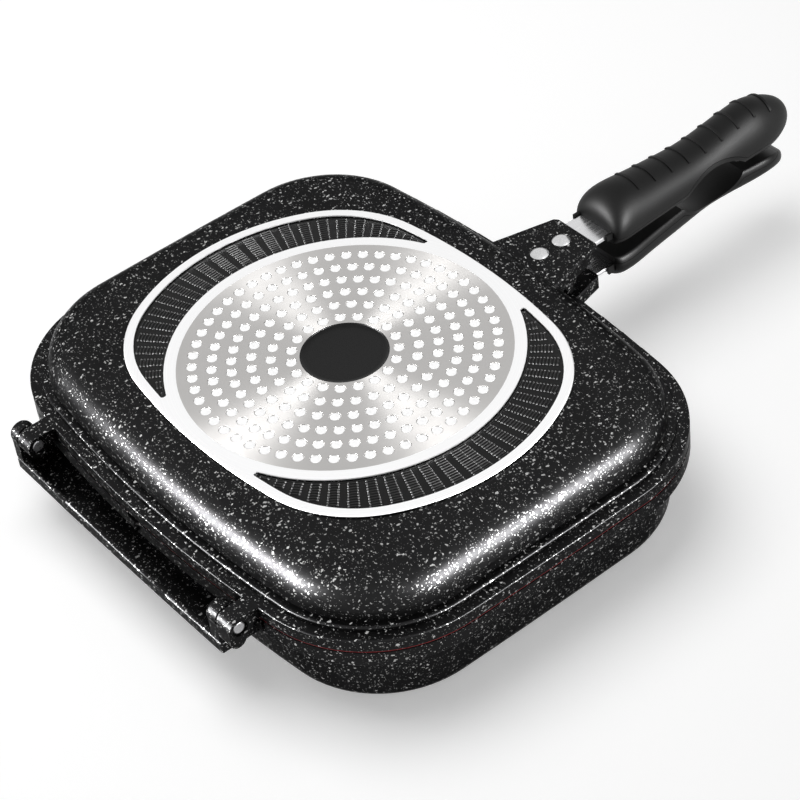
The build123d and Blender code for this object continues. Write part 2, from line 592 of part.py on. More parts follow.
def strap(lug_z, depth, setback, pitch):
    """Steel strap with its rivet holes and the hole for the grip's screw."""
    plate = strap_blank(lug_z, depth, 0)
    plate = chamfer(plate.edges().filter_by(Axis.X), STRAP_EDGE)
    for x in rivet_places(setback, pitch):
        plate -= Pos(x, 0, lug_z) * Cylinder(RIVET_RADIUS + STRAP_FIT, 4 * LUG_THICKNESS)
    screw_hole = Cylinder(SCREW_RADIUS + STRAP_HOLE_PLAY, 4 * LUG_THICKNESS)
    return plate - Pos(GRIP_X + NEAR_SCREW_AT, 0, lug_z) * screw_hole


def dome(x, z, side):
    """Domed rivet head that sits on the face at height z, on the given side."""
    radius = (RIVET_HEAD_RADIUS**2 + RIVET_HEAD_HEIGHT**2) / (2 * RIVET_HEAD_HEIGHT)
    ball = Pos(x, 0, z + side * (RIVET_HEAD_HEIGHT - radius)) * Sphere(radius)
    half = 2 * RIVET_HEAD_RADIUS
    keep = block((x - half, x + half), (-half, half), (min(z, z + side * half), max(z, z + side * half)))
    return ball & keep


def sink(x, z, grow):
    """Countersunk rivet tail, flush with the face at height z."""
    cone = Cone(RIVET_RADIUS + grow, RIVET_TAIL_RADIUS + grow, RIVET_SINK)
    return Pos(x, 0, z - RIVET_SINK / 2) * cone


def rivet_sinks(z, setback, pitch):
    """Countersinks in the lower lug's top face."""
    first, second = rivet_places(setback, pitch)
    return sink(first, z, STRAP_FIT) + sink(second, z, STRAP_FIT)


def upper_rivets():
    """Two rivets with a domed head above and a domed tail below the lug."""
    made = []
    for x in rivet_places(UPPER_RIVET_SETBACK, UPPER_RIVET_PITCH):
        shank = Pos(x, 0, UPPER_LUG_Z + LUG_THICKNESS / 2) * Cylinder(RIVET_RADIUS, LUG_THICKNESS)
        made.append(shank + dome(x, UPPER_LUG_Z + LUG_THICKNESS, 1) + dome(x, UPPER_LUG_Z, -1))
    return Compound(children=made)


def lower_rivets():
    """Two rivets with a domed head below and a flush tail above the lug."""
    made = []
    for x in rivet_places(LOWER_RIVET_SETBACK, LOWER_RIVET_PITCH):
        shank = Pos(x, 0, LOWER_LUG_Z + LUG_THICKNESS / 2) * Cylinder(RIVET_RADIUS, LUG_THICKNESS)
        made.append(shank + dome(x, LOWER_LUG_Z, -1) + sink(x, LOWER_LUG_Z + LUG_THICKNESS, 0))
    return Compound(children=made)


# ---- grips ---------------------------------------------------------------------------------------
class Profile:
    """How one measure of a grip, its half width or its depth, runs from the pan end to the tip."""

    def __init__(self, bulb, waist, waist_at, fall, swell, tip_length, tip_power, dome, end_share):
        self.bulb = bulb  # size at the pan end, before its edge is rounded off
        self.waist = waist
        self.waist_at = waist_at
        self.fall = fall  # power of the run from bulb to waist
        self.swell = swell
        self.tip_length = tip_length
        self.tip_power = tip_power
        self.dome = dome  # length of the rounding at the pan end
        self.end_share = end_share  # what the rounding leaves of the size at the pan end

    def at(self, s, length):
        """Size at distance s from the pan end of a grip of the given length."""
        swell_at = length - self.tip_length
        if s < self.waist_at:
            t = s / self.waist_at
            size = self.bulb + (self.waist - self.bulb) * (1 - (1 - t) ** self.fall)
        elif s < swell_at:
            t = (s - self.waist_at) / (swell_at - self.waist_at)
            size = self.waist + (self.swell - self.waist) * t * t * (3 - 2 * t)
        else:
            t = (s - swell_at) / self.tip_length
            size = self.swell * sqrt(1 - t**self.tip_power)
        if s < self.dome:
            size *= self.end_share + (1 - self.end_share) * sqrt(1 - (1 - s / self.dome) ** 2)
        return size


class Grip:
    """Sizes of one grip. It lies inner face down, its inner face at z = 0 and its pan end at x = 0."""

    def __init__(self, length, width, depth, lift, lift_length, arch_rise):
        self.length = length
        self.width = width
        self.depth = depth
        self.lift = lift
        self.lift_length = lift_length
        self.arch_rise = arch_rise

    def size(self, s):
        """Half width, depth, widest level above the inner face and lift at distance s from the pan end."""
        half = self.width.at(s, self.length)
        depth = self.depth.at(s, self.length)
        rise = SIDE_RISE * min(1, depth / self.depth.waist)
        bent = max(0, s - self.length + self.lift_length) / self.lift_length
        return half, depth, rise, self.lift * bent**2

    def section(self, s):
        """Closed section across the grip: flat inner face, rounded sides and a domed back."""
        half, depth, rise, lift = self.size(s)
        flat = half * FLAT_SHARE
        plane = Plane(origin=(s, 0, lift), x_dir=(0, 1, 0), z_dir=(1, 0, 0))
        floor = Line((-flat, 0), (flat, 0))
        right = EllipticalCenterArc((flat, rise), half - flat, rise, start_angle=270, arc_size=90)
        back = EllipticalCenterArc((0, rise), half, depth - rise, start_angle=0, arc_size=180)
        left = EllipticalCenterArc((-flat, rise), half - flat, rise, start_angle=180, arc_size=90)
        return plane * Face(Wire([floor, right, back, left]))

    def blank(self):
        """The whole moulded form, lofted from the pan end to the tip."""
        near = SECTIONS_FROM_PAN[-1]
        step = (self.length - SECTIONS_FROM_TIP[0] - near) / (MIDDLE_SECTIONS + 1)
        middle = [near + step * (k + 1) for k in range(MIDDLE_SECTIONS)]
        places = [*SECTIONS_FROM_PAN, *middle, *[self.length - back for back in SECTIONS_FROM_TIP]]
        return loft([self.section(s) for s in places])

    def arch(self, grow):
        """Round cutter for the finger arch, grown by a thickness."""
        radius = ((ARCH_LENGTH / 2) ** 2 + self.arch_rise**2) / (2 * self.arch_rise)
        wide = 4 * self.width.bulb
        return rod(radius + grow, (-wide, wide), ARCH_AT, self.arch_rise - radius)

    def cover_space(self, extra):
        """What lies within the cover's thickness of the inner face, arch included, thickened by extra."""
        wide = 4 * self.width.bulb
        slab = block((-2 * TAB_LENGTH, self.length + 1), (-wide, wide), (-wide, COVER_THICKNESS + extra))
        return slab + self.arch(ARCH_COVER + extra)


def rib(grip, s):
    """Thin raised rib across the grip's back, its ends let down into the surface."""
    half, depth, rise, lift = grip.size(s)
    plane = Plane(origin=(s - RIB_WIDTH / 2, 0, rise + lift), x_dir=(0, 1, 0), z_dir=(1, 0, 0))
    raised = Ellipse(half + RIB_HEIGHT, depth - rise + RIB_HEIGHT)
    raised &= Pos(0, depth) * Rectangle(2 * RIB_HALF_SPAN, 2 * depth)
    raised -= Ellipse(half - RIB_ROOT, depth - rise - RIB_ROOT)
    return extrude(plane * raised, amount=RIB_WIDTH)


def screw(s, grow):
    """Countersunk screw from the inner face, along +Z, grown to make its own hole."""
    head = Cone(SCREW_HEAD_RADIUS + grow, SCREW_RADIUS + grow, SCREW_HEAD_RADIUS - SCREW_RADIUS)
    shank = Cylinder(SCREW_RADIUS + grow, SCREW_LENGTH + grow, align=(Align.CENTER, Align.CENTER, Align.MIN))
    return Pos(s, 0, 0) * (Pos(0, 0, (SCREW_HEAD_RADIUS - SCREW_RADIUS) / 2) * head + shank)


def magnet():
    """Round magnet, a little below the inner face."""
    body = Cylinder(MAGNET_RADIUS, MAGNET_THICKNESS, align=(Align.CENTER, Align.CENTER, Align.MIN))
    return Pos(MAGNET_AT, 0, MAGNET_SINK) * body


def magnet_pocket():
    """Pocket for the magnet, open at the inner face."""
    depth = MAGNET_SINK + MAGNET_THICKNESS + MAGNET_FIT
    pocket = Cylinder(MAGNET_RADIUS + MAGNET_FIT, depth, align=(Align.CENTER, Align.CENTER, Align.MIN))
    return Pos(MAGNET_AT, 0, 0) * pocket


UPPER_GRIP = Grip(
    length=UPPER_GRIP_LENGTH,
    width=Profile(
        bulb=18.9,
        waist=14.6,
        waist_at=70,
        fall=1.32,
        swell=14.8,
        tip_length=31.6,
        tip_power=1.75,
        dome=9.9,
        end_share=0.75,
    ),
    depth=Profile(
        bulb=26.2,
        waist=21.4,
        waist_at=65,
        fall=1.53,
        swell=27.3,
        tip_length=28.6,
        tip_power=1.64,
        dome=17.8,
        end_share=0.37,
    ),
    lift=UPPER_LIFT,
    lift_length=UPPER_LIFT_LENGTH,
    arch_rise=UPPER_ARCH_RISE,
)
LOWER_GRIP = Grip(
    length=LOWER_GRIP_LENGTH,
    width=Profile(
        bulb=20.0,
        waist=10.5,
        waist_at=73,
        fall=1.21,
        swell=14.2,
        tip_length=16.8,
        tip_power=1.40,
        dome=14.5,
        end_share=0.74,
    ),
    depth=Profile(
        bulb=20.0,
        waist=17.0,
        waist_at=40,
        fall=3.0,
        swell=15.0,
        tip_length=42.8,
        tip_power=4.29,
        dome=26.0,
        end_share=0.75,
    ),
    lift=LOWER_LIFT,
    lift_length=LOWER_LIFT_LENGTH,
    arch_rise=LOWER_ARCH_RISE,
)


def upper_place(shape):
    """Grip frame to the upper handle."""
    return Pos(GRIP_X, 0, UPPER_INNER_Z) * shape


def lower_place(shape):
    """Grip frame to the lower handle: turned over and tilted so that the tips almost meet."""
    tilt = atan2(GRIP_GAP_NEAR - GRIP_GAP_TIP, LOWER_GRIP_LENGTH) * 180 / pi
    turned = mirror(shape, about=Plane.XY)
    return Pos(GRIP_X, 0, UPPER_INNER_Z - GRIP_GAP_NEAR) * Rot(0, -tilt, 0) * turned


def tabs(lug_z):
    """Two small tabs that hug the strap's edges at the pan end of a grip."""
    middle = lug_z + LUG_THICKNESS / 2
    z = (middle - TAB_HEIGHT / 2, middle + TAB_HEIGHT / 2)
    inner = STRAP_WIDTH / 2 + STRAP_FIT
    x = (GRIP_X - TAB_LENGTH, GRIP_X + TAB_ROOT)
    return block(x, (inner, inner + TAB_THICKNESS), z) + block(x, (-inner - TAB_THICKNESS, -inner), z)


def grip_shell(grip, place, lug_z, depth):
    """Outer grip: the blank less its cover, strap slot and screw holes, with its tabs."""
    body = grip.blank()
    body -= screw(NEAR_SCREW_AT, SCREW_FIT) + screw(FAR_SCREW_AT, SCREW_FIT)
    if grip is UPPER_GRIP:
        for k in range(RIB_COUNT):
            body += rib(grip, RIB_FIRST + RIB_PITCH * k)
    body = place(body) + tabs(lug_z) - place(grip.cover_space(PARTING_GAP))
    return body - strap_blank(lug_z, depth, STRAP_FIT)


def grip_cover(grip, place):
    """Inner cover with the finger arch, screw seats and magnet pocket."""
    cover = grip.blank() & grip.cover_space(0)
    cover -= grip.arch(0)
    cover -= screw(NEAR_SCREW_AT, SCREW_FIT) + screw(FAR_SCREW_AT, SCREW_FIT) + magnet_pocket()
    return place(cover)


def grip_screws(place):
    """The two cover screws of one grip."""
    return Compound(children=[place(screw(NEAR_SCREW_AT, 0)), place(screw(FAR_SCREW_AT, 0))])


# ---- build and export ----------------------------------------------------------------------------
NODES = {
    "lower_pan_shell": lower_pan_shell,
    "lower_induction_disc": induction_disc,
    "hinge_pin_left": lambda: hinge_pin(LEFT_EAR_Y, LEFT_KNUCKLE_Y),
    "hinge_pin_right": lambda: hinge_pin(RIGHT_EAR_Y, RIGHT_KNUCKLE_Y),
    "lower_handle_strap": lambda: strap(LOWER_LUG_Z, *LOWER_RIVETING),
    "lower_handle_rivets": lower_rivets,
    "lower_handle_grip": lambda: grip_shell(LOWER_GRIP, lower_place, LOWER_LUG_Z, LOWER_STRAP_DEPTH),
    "lower_handle_cover": lambda: grip_cover(LOWER_GRIP, lower_place),
    "lower_handle_screws": lambda: grip_screws(lower_place),
    "lower_handle_magnet": lambda: lower_place(magnet()),
    "upper_pan_shell": upper_pan_shell,
    "upper_induction_disc": lambda: mirror_up(induction_disc()),
    "silicone_gasket": silicone_gasket,
    "upper_handle_strap": lambda: strap(UPPER_LUG_Z, *UPPER_RIVETING),
    "upper_handle_rivets": upper_rivets,
    "upper_handle_grip": lambda: grip_shell(UPPER_GRIP, upper_place, UPPER_LUG_Z, UPPER_STRAP_DEPTH),
    "upper_handle_cover": lambda: grip_cover(UPPER_GRIP, upper_place),
    "upper_handle_screws": lambda: grip_screws(upper_place),
    "upper_handle_magnet": lambda: upper_place(magnet()),
}

os.makedirs("parts", exist_ok=True)
for node, make in NODES.items():
    export_step(make(), f"parts/{node}.step")
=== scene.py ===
"""Looks of the double sided flip pan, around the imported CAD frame. Metres, same frame as the CAD."""

import math

import bmesh
import bpy
from mathutils import Matrix, Vector


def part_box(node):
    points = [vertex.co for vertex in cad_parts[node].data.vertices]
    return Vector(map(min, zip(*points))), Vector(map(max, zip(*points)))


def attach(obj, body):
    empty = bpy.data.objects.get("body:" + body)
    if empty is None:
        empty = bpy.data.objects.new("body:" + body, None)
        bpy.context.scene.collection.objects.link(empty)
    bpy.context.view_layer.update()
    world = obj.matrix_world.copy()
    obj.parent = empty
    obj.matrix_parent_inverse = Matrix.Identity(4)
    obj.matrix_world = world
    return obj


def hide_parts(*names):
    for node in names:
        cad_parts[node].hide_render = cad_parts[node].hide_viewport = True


MM = 0.001

# ---- camera --------------------------------------------------------------------------------------
CAMERA_OVER_BASE = Vector((-0.5076, -0.8009, 0.8132))  # from the middle of the upper base face
CAMERA_RIGHT = Vector((0.773411, -0.626006, -0.099760))
CAMERA_DOWN = Vector((-0.479619, -0.474977, -0.737809))
CAMERA_LENS_MM = 112.56
CAMERA_SENSOR_MM = 36.0

# ---- base face, in metres from its middle --------------------------------------------------------
DISC_RADIUS = 85.1 * MM
DISC_THICKNESS = 0.6 * MM
DISC_EDGE = 0.05 * MM
RING_RADIUS = 91.3 * MM
CENTRE_RADIUS = 22.7 * MM
CENTRE_DEPTH = 1.15 * MM
COVE_WIDTH = 3.2 * MM
COVE_STEPS = 8
DISH_MARGIN = 0.3 * MM  # centre's edge to the top of the cove
DISH_DROP = 0.05 * MM
DISH_LIP = (0.02 * MM, 0.04 * MM)  # from the centre's edge, below the base face
DISH_SIDES = 120
HOLE_RADIUS = 2.95 * MM
HOLE_SIDES = 24
FIRST_HOLE_ROW = 27.24 * MM
HOLE_ROW_PITCH = 9.97 * MM
HOLE_ROWS = 6
HOLE_PITCH = 8.85 * MM
ROW_TURN = 0.37  # share of a hole's spacing that each row is turned by
DISC_SIDES = 180
CENTRE_SIDES = 90
STUD_SIDES = 20
STUD_RINGS = ((2.76, -0.58), (2.74, -0.2), (2.55, -0.1), (1.7, -0.05), (0.0, -0.03))  # radius and height, mm
SEAT_DEPTH = 0.65 * MM  # anything nearer the base face than this is bare machined metal

# ---- black relief in the two crescents, in metres and radians ------------------------------------
CRESCENT_FLOOR = 1.42 * MM
CRESCENT_TIP_Y = 38.2 * MM
CRESCENT_BORDER = 5.0  # pad's edge to the crescent, mm
CRESCENT_STEPS = 120
EDGE_LINE = (0.7 * MM, 1.1 * MM)  # raised line, from the ring's edge
EDGE_LINE_HEIGHT = 0.3 * MM
BAR_SLOPE = 0.25  # share of a bar's width
PAD_PLAN_MM = (92.94, 119.4, 357.0, 111.0, 67.4)  # half x, half y, side bow, end bow and corner of the pad
LADDER_PITCH = math.radians(5.333)
LADDER_WIDTH = math.radians(2.68)
LADDER_FIRST = math.radians(-91.1)
RUNG_PITCH = 1.75 * MM
RUNG_WIDTH = 0.8 * MM
RUNG_HEIGHT = 0.45 * MM
FIRST_RUNG = 93.2 * MM
BEAD_RADIUS = 0.55 * MM
BEAD_HEIGHT = 0.6 * MM
BEAD_SIDES = 8
LADDER_MARGIN = 1.0 * MM  # last rung to the crescent's border
LADDER_TIP_MARGIN = 1.5 * MM
# slots of the crescent relief: the rungs and the raised edge line, and the beads, are the same black
# moulding as the floor, tinted lighter as painted highlight and painted glints
FLOOR_SLOT, PAINTED_HIGHLIGHT_SLOT, PAINTED_GLINT_SLOT = 0, 1, 2

# ---- lamps, floor and world ----------------------------------------------------------------------
LAMP_REACH = 1.3
LAMPS = (
    # name, direction from the base face, width and depth in metres, power, whether it lights matt
    # surfaces; the low lamps show in glossy surfaces only, the overhead one lights matt ones only
    ("left_softbox", (-0.91, 0.37, 0.15), (0.8, 0.4), 105.0, False),
    ("right_softbox", (0.305, -0.914, 0.269), (0.9, 0.42), 75.0, False),
    ("overhead_softbox", (-0.1, 0.3, 1.0), (1.2, 1.2), 14.0, True),
)
WORLD_FILL = 0.25  # what matt surfaces get from the world
WORLD_WHITE = 1.0  # what the camera and reflections see
FLOOR_SIZE = 6.0
FLOOR_Z = -0.3 * MM
FLOOR_TONE = 0.8
FLOOR_GLOW = 0.36  # added where the camera and reflections see the floor

# ---- coating, with the flecks of its granite look ------------------------------------------------
COAT_EDGE_TINT = 0.45  # keeps the coating from brightening at a glancing view
COAT_BLACK = ((0.012, 0.012, 0.0124, 1), (0.019, 0.019, 0.0194, 1))
COAT_ROUGHNESS = (0.29, 0.37)
BARE_METAL = ((0.78, 0.78, 0.785, 1), (0.90, 0.90, 0.90, 1))
BARE_ROUGHNESS = 0.4
BARE_LINES = 2200.0  # turning marks per metre of radius
FLECK_WHITE = (0.86, 0.86, 0.85, 1)
FLECK_WOBBLE = 1.8 * MM
FLECK_WOBBLE_SCALE = 650.0
FLECK_LEAST_SIZE = 0.35  # smallest fleck, share of the largest in its group
FLECK_EDGE = (-0.01, 0.03)
FLECK_RELIEF = 0.6
FLECKS = (
    # scale, size in cells, share, stretch, turn in degrees, darkest and lightest tone
    (460.0, 0.3, 0.5, (0.6, 1.0, 1.0), -40.0, 0.15, 0.95),
    (700.0, 0.3, 0.7, (1.0, 0.5, 1.0), 30.0, 0.06, 0.8),
    (1000.0, 0.3, 0.6, (1.0, 1.0, 1.0), 0.0, 0.04, 0.45),
)

# ---- disc steel and seal -------------------------------------------------------------------------
DISC_STEEL = ((0.44, 0.43, 0.42, 1), (0.58, 0.57, 0.56, 1))
DISC_ROUGHNESS = (0.36, 0.44)
DISC_LINES = 3800.0  # brush marks per metre of radius
DISC_ANISOTROPY = 0.9
DISC_ANISOTROPY_TURN = 0.25  # a quarter turn, so that highlights spread along the radius
SEAL_RED = ((0.26, 0.007, 0.01, 1), (0.42, 0.015, 0.02, 1))
SEAL_ROUGHNESS = (0.4, 0.55)

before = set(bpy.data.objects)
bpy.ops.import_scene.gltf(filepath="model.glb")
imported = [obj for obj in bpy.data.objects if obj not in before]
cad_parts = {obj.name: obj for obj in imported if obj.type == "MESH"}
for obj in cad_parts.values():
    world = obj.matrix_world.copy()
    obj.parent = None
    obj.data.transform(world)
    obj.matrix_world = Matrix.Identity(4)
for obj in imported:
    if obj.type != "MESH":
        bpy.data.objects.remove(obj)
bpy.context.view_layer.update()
TOP_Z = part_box("upper_induction_disc")[1][2]


# ---- material helpers ----------------------------------------------------------------------------
class Maker:
    """A material under construction, with short calls for its nodes."""

    def __init__(self, name):
        self.material = bpy.data.materials.new(name)
        self.material.use_nodes = True
        self.tree = self.material.node_tree
        self.shader = self.tree.nodes["Principled BSDF"]
        self.place = self.node("ShaderNodeTexCoord").outputs["Object"]

    def node(self, kind, **settings):
        made = self.tree.nodes.new(kind)
        for key, value in settings.items():
            setattr(made, key, value)
        return made

    def link(self, source, target):
        self.tree.links.new(source, target)

    def put(self, value, socket):
        """Link a socket or set a plain value."""
        if isinstance(value, bpy.types.NodeSocket):
            self.link(value, socket)
        else:
            socket.default_value = value

    def math(self, operation, a, b=0.0):
        made = self.node("ShaderNodeMath", operation=operation)
        for value, socket in zip((a, b), made.inputs):
            self.put(value, socket)
        return made.outputs[0]

    def ramp(self, value, low, high, to_low=0.0, to_high=1.0):
        """Linear change of a value from one range to another, held at both ends."""
        made = self.node("ShaderNodeMapRange", clamp=True)
        for given, socket in zip((value, low, high, to_low, to_high), made.inputs):
            self.put(given, socket)
        return made.outputs[0]

    def vary(self, value, span):
        """Carry the middle of a noise over to a span of values."""
        return self.ramp(value, 0.3, 0.7, *span)

    def vector_math(self, operation, a, b):
        made = self.node("ShaderNodeVectorMath", operation=operation)
        for value, socket in zip((a, b), made.inputs):
            self.put(value, socket)
        return made

    def noise(self, scale, detail=2.0, at=None):
        made = self.node("ShaderNodeTexNoise")
        self.link(at or self.place, made.inputs["Vector"])
        made.inputs["Scale"].default_value = scale
        made.inputs["Detail"].default_value = detail
        return made

    def circles(self, per_metre, detail=2.0):
        """Noise in fine circles round the Z axis."""
        x, y, _ = self.xyz()
        squares = [self.math("MULTIPLY", value, value) for value in (x, y)]
        radius = self.math("SQRT", self.math("ADD", *squares))
        made = self.node("ShaderNodeTexNoise", noise_dimensions="1D")
        self.link(self.math("MULTIPLY", radius, per_metre), made.inputs["W"])
        made.inputs["Scale"].default_value = 1.0
        made.inputs["Detail"].default_value = detail
        return made

    def mix(self, factor, a, b):
        made = self.node("ShaderNodeMix", data_type="RGBA")
        self.put(factor, made.inputs["Factor"])
        self.put(a, made.inputs["A"])
        self.put(b, made.inputs["B"])
        return made.outputs["Result"]

    def bump(self, height, distance, strength):
        made = self.node("ShaderNodeBump")
        made.inputs["Strength"].default_value = strength
        made.inputs["Distance"].default_value = distance
        self.link(height, made.inputs["Height"])
        return made.outputs["Normal"]

    def set(self, **values):
        """Set or link the shader's own sockets, named with _ for a space."""
        for key, value in values.items():
            self.put(value, self.shader.inputs[key.replace("_", " ")])

    def xyz(self):
        made = self.node("ShaderNodeSeparateXYZ")
        self.link(self.place, made.inputs[0])
        return made.outputs[0], made.outputs[1], made.outputs[2]


def speckles(m, scale, size, share, stretch, turn):
    """Flecks round the points of a Voronoi texture: 1 inside a fleck, and a random tone for each."""
    wobble = m.noise(FLECK_WOBBLE_SCALE, 1.0).outputs["Color"]
    centred = m.vector_math("SUBTRACT", wobble, (0.5, 0.5, 0.5))
    offset = m.node("ShaderNodeVectorMath", operation="SCALE")
    m.link(centred.outputs[0], offset.inputs[0])
    offset.inputs["Scale"].default_value = FLECK_WOBBLE
    moved = m.vector_math("ADD", m.place, offset.outputs[0])
    stretched = m.node("ShaderNodeMapping")
    m.link(moved.outputs[0], stretched.inputs["Vector"])
    stretched.inputs["Scale"].default_value = stretch
    stretched.inputs["Rotation"].default_value = (0.0, 0.0, math.radians(turn))
    cells = m.node("ShaderNodeTexVoronoi", voronoi_dimensions="3D")
    m.link(stretched.outputs[0], cells.inputs["Vector"])
    cells.inputs["Scale"].default_value = scale
    pick = m.node("ShaderNodeSeparateColor")
    m.link(cells.outputs["Color"], pick.inputs[0])
    radius = m.math("MULTIPLY", m.ramp(pick.outputs[0], 0.0, 1.0, FLECK_LEAST_SIZE, 1.0), size)
    kept = m.math("LESS_THAN", pick.outputs[1], share)
    edge = m.math("SUBTRACT", m.math("MULTIPLY", radius, kept), cells.outputs["Distance"])
    return m.ramp(edge, *FLECK_EDGE), pick.outputs[2]


def granite(name, ceiling, floor_side):
    """Black granite-look coating, with bare machined metal next to the base face.

    ceiling is the base face's height and floor_side is -1 when the pan lies under it, 1 over it."""
    m = Maker(name)
    depth = m.math("MULTIPLY", m.math("SUBTRACT", m.xyz()[2], ceiling), floor_side)
    bare = m.math("LESS_THAN", depth, SEAT_DEPTH)
    lit = []
    for *fleck_shape, low, high in FLECKS:
        fleck, tone = speckles(m, *fleck_shape)
        lit.append(m.math("MULTIPLY", fleck, m.ramp(tone, 0.0, 1.0, low, high)))
    bright = lit[0]
    for other in lit[1:]:
        bright = m.math("MAXIMUM", bright, other)
    coat = m.mix(bright, m.mix(m.noise(45.0, 4.0).outputs["Fac"], *COAT_BLACK), FLECK_WHITE)
    metal = m.mix(m.circles(BARE_LINES).outputs["Fac"], *BARE_METAL)
    m.set(Base_Color=m.mix(bare, coat, metal))
    m.set(Metallic=m.math("MAXIMUM", bare, m.math("SUBTRACT", 1.0, bright)))
    grain = m.noise(420.0, 3.0).outputs["Fac"]
    bare_roughness = m.math("MULTIPLY", bare, BARE_ROUGHNESS)
    m.set(Roughness=m.math("MAXIMUM", m.vary(grain, COAT_ROUGHNESS), bare_roughness))
    relief = m.math("ADD", grain, m.math("MULTIPLY", bright, FLECK_RELIEF))
    m.set(Normal=m.bump(relief, 0.05 * MM, 0.3))
    m.set(Specular_Tint=(COAT_EDGE_TINT,) * 3 + (1.0,))
    return m.material


def brushed_disc(name):
    """Stainless steel, brushed round its centre, so that lamps show as beams across it."""
    m = Maker(name)
    marks = (m.circles(DISC_LINES, 3.0), m.noise(60.0, 3.0))
    tone = m.math("ADD", *[m.math("MULTIPLY", mark.outputs["Fac"], 0.5) for mark in marks])
    m.set(Base_Color=m.mix(tone, *DISC_STEEL), Metallic=1.0, Roughness=m.vary(tone, DISC_ROUGHNESS))
    m.set(Anisotropic=DISC_ANISOTROPY, Anisotropic_Rotation=DISC_ANISOTROPY_TURN)
    around = m.node("ShaderNodeTangent", direction_type="RADIAL", axis="Z")
    m.set(Tangent=around.outputs[0])
    return m.material


def polished(name, light, dark, roughness, along=(1.0, 1.0, 1.0)):
    """Bare metal with fine scratches, which a small scale stretches along its axis."""
    m = Maker(name)
    stretched = m.node("ShaderNodeMapping")
    m.link(m.place, stretched.inputs["Vector"])
    stretched.inputs["Scale"].default_value = along
    scratch = m.noise(900.0, 3.0, at=stretched.outputs[0]).outputs["Fac"]
    m.set(Base_Color=m.mix(scratch, (*dark, 1), (*light, 1)), Metallic=1.0)
    m.set(Roughness=m.vary(scratch, (roughness - 0.05, roughness + 0.06)))
    m.set(Normal=m.bump(scratch, 0.02 * MM, 0.2))
    return m.material


def satin_plastic(name, tone, roughness, shine):
    """Moulded black plastic with a soft-touch grain."""
    m = Maker(name)
    grain = m.noise(2600.0).outputs["Fac"]
    dark, light = ((share * tone,) * 3 + (1.0,) for share in (0.75, 1.25))
    m.set(Base_Color=m.mix(m.noise(30.0).outputs["Fac"], dark, light))
    m.set(Roughness=m.vary(grain, (roughness - 0.05, roughness + 0.05)))
    m.set(Normal=m.bump(grain, 0.03 * MM, 0.3), Specular_IOR_Level=shine)
    return m.material


def silicone(name):
    """Red silicone with a faint cloudiness."""
    m = Maker(name)
    cloud = m.noise(250.0, 3.0).outputs["Fac"]
    m.set(Base_Color=m.mix(cloud, *SEAL_RED), Roughness=m.vary(cloud, SEAL_ROUGHNESS))
    m.set(Subsurface_Weight=0.05, Specular_IOR_Level=0.25)
    return m.material


def dress(node, material):
    """Give a CAD node its material through its slots."""
    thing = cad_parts[node]
    if not thing.material_slots:
        thing.data.materials.append(material)
    for slot in thing.material_slots:
        slot.link = "OBJECT"
        slot.material = material


# ---- pieces --------------------------------------------------------------------------------------
def settle(name, mesh, half, base_z, side, materials):
    """Turn a mesh built under a base face at z 0 into a piece of one pan half.

    side is 1 for the upper half and -1 for the lower half, whose base face looks down."""
    if side < 0:
        mesh.transform(Matrix.Diagonal((1.0, 1.0, -1.0, 1.0)))
        mesh.flip_normals()
    mesh.transform(Matrix.Translation((0.0, 0.0, base_z)))
    for material in materials:
        mesh.materials.append(material)
    piece = bpy.data.objects.new(name, mesh)
    bpy.context.scene.collection.objects.link(piece)
    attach(piece, half)
    return piece


def hole_places():
    """Centres of the holes, in rows round the disc."""
    places = []
    for row in range(HOLE_ROWS):
        radius = FIRST_HOLE_ROW + row * HOLE_ROW_PITCH
        count = round(2 * math.pi * radius / HOLE_PITCH)
        for index in range(count):
            angle = 2 * math.pi * (index + ROW_TURN * row) / count
            places.append((radius * math.cos(angle), radius * math.sin(angle)))
    return places


def ring(x, y, radius, height, sides):
    """Corners of a regular polygon round a point."""
    turns = [2 * math.pi * k / sides for k in range(sides)]
    return [(x + radius * math.cos(t), y + radius * math.sin(t), height) for t in turns]


def disc_mesh():
    """Perforated disc, its top at z 0."""
    flat = bpy.data.curves.new("disc_outline", "CURVE")
    flat.dimensions = "2D"
    flat.fill_mode = "BOTH"
    circles = [(0.0, 0.0, DISC_RADIUS, DISC_SIDES), (0.0, 0.0, CENTRE_RADIUS, CENTRE_SIDES)]
    circles += [(x, y, HOLE_RADIUS, HOLE_SIDES) for x, y in hole_places()]
    for x, y, radius, sides in circles:
        spline = flat.splines.new("POLY")
        spline.points.add(sides - 1)
        spline.use_cyclic_u = True
        for point, corner in zip(spline.points, ring(x, y, radius, 0.0, sides)):
            point.co = (*corner, 1.0)
    flat.extrude = DISC_THICKNESS / 2 - DISC_EDGE
    flat.bevel_depth = DISC_EDGE
    flat.bevel_resolution = 1
    flat.offset = -DISC_EDGE
    holder = bpy.data.objects.new("disc_outline", flat)
    mesh = bpy.data.meshes.new_from_object(holder)
    bpy.data.objects.remove(holder)
    mesh.transform(Matrix.Translation((0.0, 0.0, -DISC_THICKNESS / 2)))
    mesh.materials.clear()
    return mesh


def dome(build, x, y, rings, sides, material=FLOOR_SLOT):
    """Add a round dome or dish: rings are (radius, height) from its edge to its middle."""
    loops = []
    for radius, height in rings:
        if radius == 0:
            loops.append([build.verts.new((x, y, height))])
            continue
        loops.append([build.verts.new(corner) for corner in ring(x, y, radius, height, sides)])
    for low, high in zip(loops, loops[1:]):
        for k in range(sides):
            after = (k + 1) % sides
            upper = [high[0]] if len(high) == 1 else [high[after], high[k]]
            face = build.faces.new([low[k], low[after], *upper])
            face.smooth = True
            face.material_index = material


def finished(build, name):
    """Mesh of a finished build, the faces of each form in it turned the same way.

    Studs, bars and beads face outwards. The open sheets, which are the dish and the floors of the
    crescents, face into the pan."""
    mesh = bpy.data.meshes.new(name)
    bmesh.ops.recalc_face_normals(build, faces=build.faces)
    build.to_mesh(mesh)
    build.free()
    return mesh


